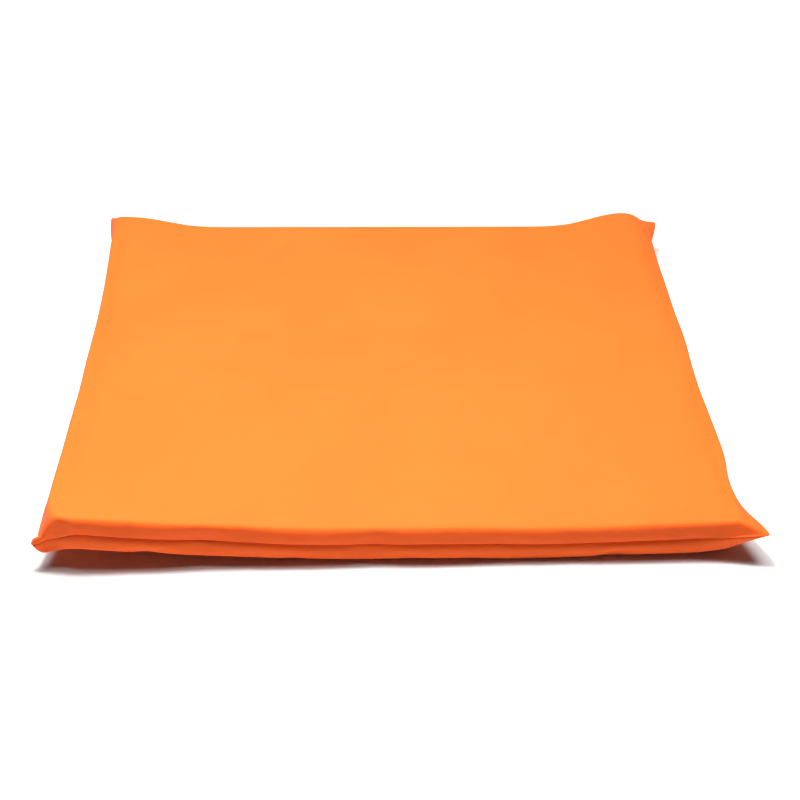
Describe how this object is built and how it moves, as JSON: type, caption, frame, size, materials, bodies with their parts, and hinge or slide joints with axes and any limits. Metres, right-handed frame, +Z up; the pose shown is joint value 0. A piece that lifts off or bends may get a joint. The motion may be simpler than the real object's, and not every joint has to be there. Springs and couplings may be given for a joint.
{
  "type": "kneeling pad",
  "caption": "Flat rectangular kneeling pad: a foam slab in a removable sewn fabric cover with pointed corners, closed by a coil zip along its back edge.",
  "frame": {"origin": "on the floor, under the middle of the pad", "axes": "+X along the pad's long side, to the right as seen from the front; +Y towards the back edge with the zip; +Z up, through the pad's thickness"},
  "size_m": [0.496, 0.396, 0.0454],
  "materials": {
    "foam": "closed-cell polyethylene foam, fine pored skin",
    "cover_cloth": "plain-woven orange polyester with a matte coating",
    "seam_thread": "orange polyester sewing thread",
    "zip_tape": "orange woven polyester tape",
    "zip_coil": "orange nylon monofilament coil",
    "zip_metal": "nickel-plated die-cast zinc"
  },
  "bodies": {
    "pad": {"foam_slab": "foam", "cover_top_panel": "cover_cloth", "cover_bottom_panel": "cover_cloth", "edge_seam_thread": "seam_thread", "zip_tape_upper": "zip_tape", "zip_tape_lower": "zip_tape", "zip_coil_upper": "zip_coil", "zip_coil_lower": "zip_coil", "zip_end_tack_left": "seam_thread", "zip_end_tack_right": "seam_thread", "zip_stitching_upper": "seam_thread", "zip_stitching_lower": "seam_thread"},
    "zip_slider": {"zip_slider_body": "zip_metal"},
    "zip_pull": {"zip_pull_tab": "zip_metal"}
  },
  "joints": [
    {"name": "zip_slider_travel", "type": "slide", "parent": "pad", "child": "zip_slider", "axis": [1, 0, 0], "range_m": [0, 0.328], "deforming": ["zip_coil_upper", "zip_coil_lower"]},
    {"name": "zip_pull_swing", "type": "hinge", "parent": "zip_slider", "child": "zip_pull", "pos_m": [-0.1637, 0.18915, 0.0172], "axis": [0, 0, 1], "range_deg": [0, 180]}
  ]
}
